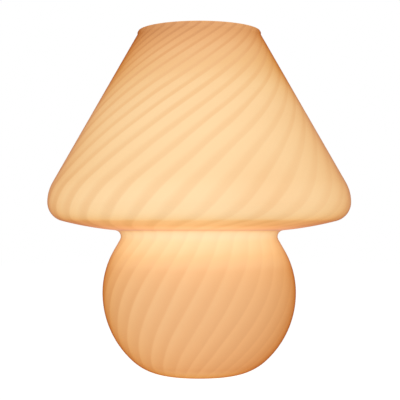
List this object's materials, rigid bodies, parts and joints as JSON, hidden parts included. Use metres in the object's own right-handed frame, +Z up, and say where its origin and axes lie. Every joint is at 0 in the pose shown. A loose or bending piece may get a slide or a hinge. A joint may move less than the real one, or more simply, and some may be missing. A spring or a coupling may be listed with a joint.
{
  "type": "mushroom table lamp",
  "caption": "Free-standing table lamp: one blown glass body, wide cone shade over a round belly, open at the top, lit from inside by a screw-in bulb.",
  "frame": {"origin": "centre of the lamp's base, on the surface it stands on", "axes": "+Z up along the lamp's axis of revolution; -Y is the front that the picture shows; the lead hole is at the back, +Y"},
  "size_m": [0.3157, 0.3158, 0.36],
  "materials": {
    "opal_glass": "cased opal glass, gloss, faint white swirl stripes",
    "clear_rubber": "clear soft polyurethane",
    "black_rubber": "matt moulded rubber",
    "zinc_steel": "zinc-plated, satin",
    "brass": "plain turned brass",
    "holder_plastic": "moulded white, satin",
    "porcelain": "glazed white ceramic",
    "nickel": "nickel-plated sheet, bright",
    "spring_steel": "bright drawn wire",
    "lead_bush_rubber": "pale moulded rubber, matt",
    "bulb_plastic": "white moulded, matt",
    "bulb_opal": "opal diffusing plastic, frosted",
    "dark_glaze": "dark insulating glaze",
    "bulb_board": "white-lacquered aluminium",
    "phosphor": "yellow phosphor",
    "circuit_board": "green lacquered laminate",
    "capacitor_sleeve": "dark shrink sleeve",
    "coil_ferrite": "grey ferrite and tape"
  },
  "bodies": {
    "lamp_body": {"glass_body": "opal_glass", "bumper_pads": "clear_rubber", "lower_nut": "zinc_steel", "lower_steel_washer": "zinc_steel", "lower_rubber_washer": "black_rubber", "upper_rubber_washer": "black_rubber", "upper_steel_washer": "zinc_steel", "upper_nut": "zinc_steel", "threaded_tube": "zinc_steel", "stem_sleeve": "brass", "holder_cap": "holder_plastic", "holder_grub_screw": "zinc_steel", "holder_shell": "holder_plastic", "holder_insert": "porcelain", "screw_shell": "nickel", "contact_spring": "spring_steel", "terminals": "brass", "terminal_screws": "zinc_steel", "insert_rivets": "brass", "lead_bush": "lead_bush_rubber"},
    "contact": {"centre_contact": "brass"},
    "bulb_carrier": {"bulb_contact_tip": "nickel", "bulb_cap_insulator": "dark_glaze"},
    "bulb": {"bulb_screw_cap": "nickel", "bulb_housing": "bulb_plastic", "bulb_globe": "bulb_opal", "bulb_led_board": "bulb_board", "bulb_led_chips": "phosphor", "bulb_driver_board": "circuit_board", "bulb_driver_capacitor": "capacitor_sleeve", "bulb_driver_coil": "coil_ferrite"}
  },
  "joints": [
    {"name": "contact_press", "type": "slide", "parent": "lamp_body", "child": "contact", "axis": [0, 0, 1], "range_m": [-0.0008, 0], "stiffness_N_per_m": 1200, "springref_m": 0.001, "deforming": ["contact_spring"]},
    {"name": "bulb_rise", "type": "slide", "parent": "lamp_body", "child": "bulb_carrier", "axis": [0, 0, 1], "range_m": [0, 0.01633]},
    {"name": "bulb_turn", "type": "hinge", "parent": "bulb_carrier", "child": "bulb", "pos_m": [0, 0, 0.068], "axis": [0, 0, 1], "range_deg": [0, 1620]}
  ],
  "couplings": [
    {"joint": "bulb_turn", "follows": "bulb_rise", "rad_per_m": 1731.4}
  ]
}
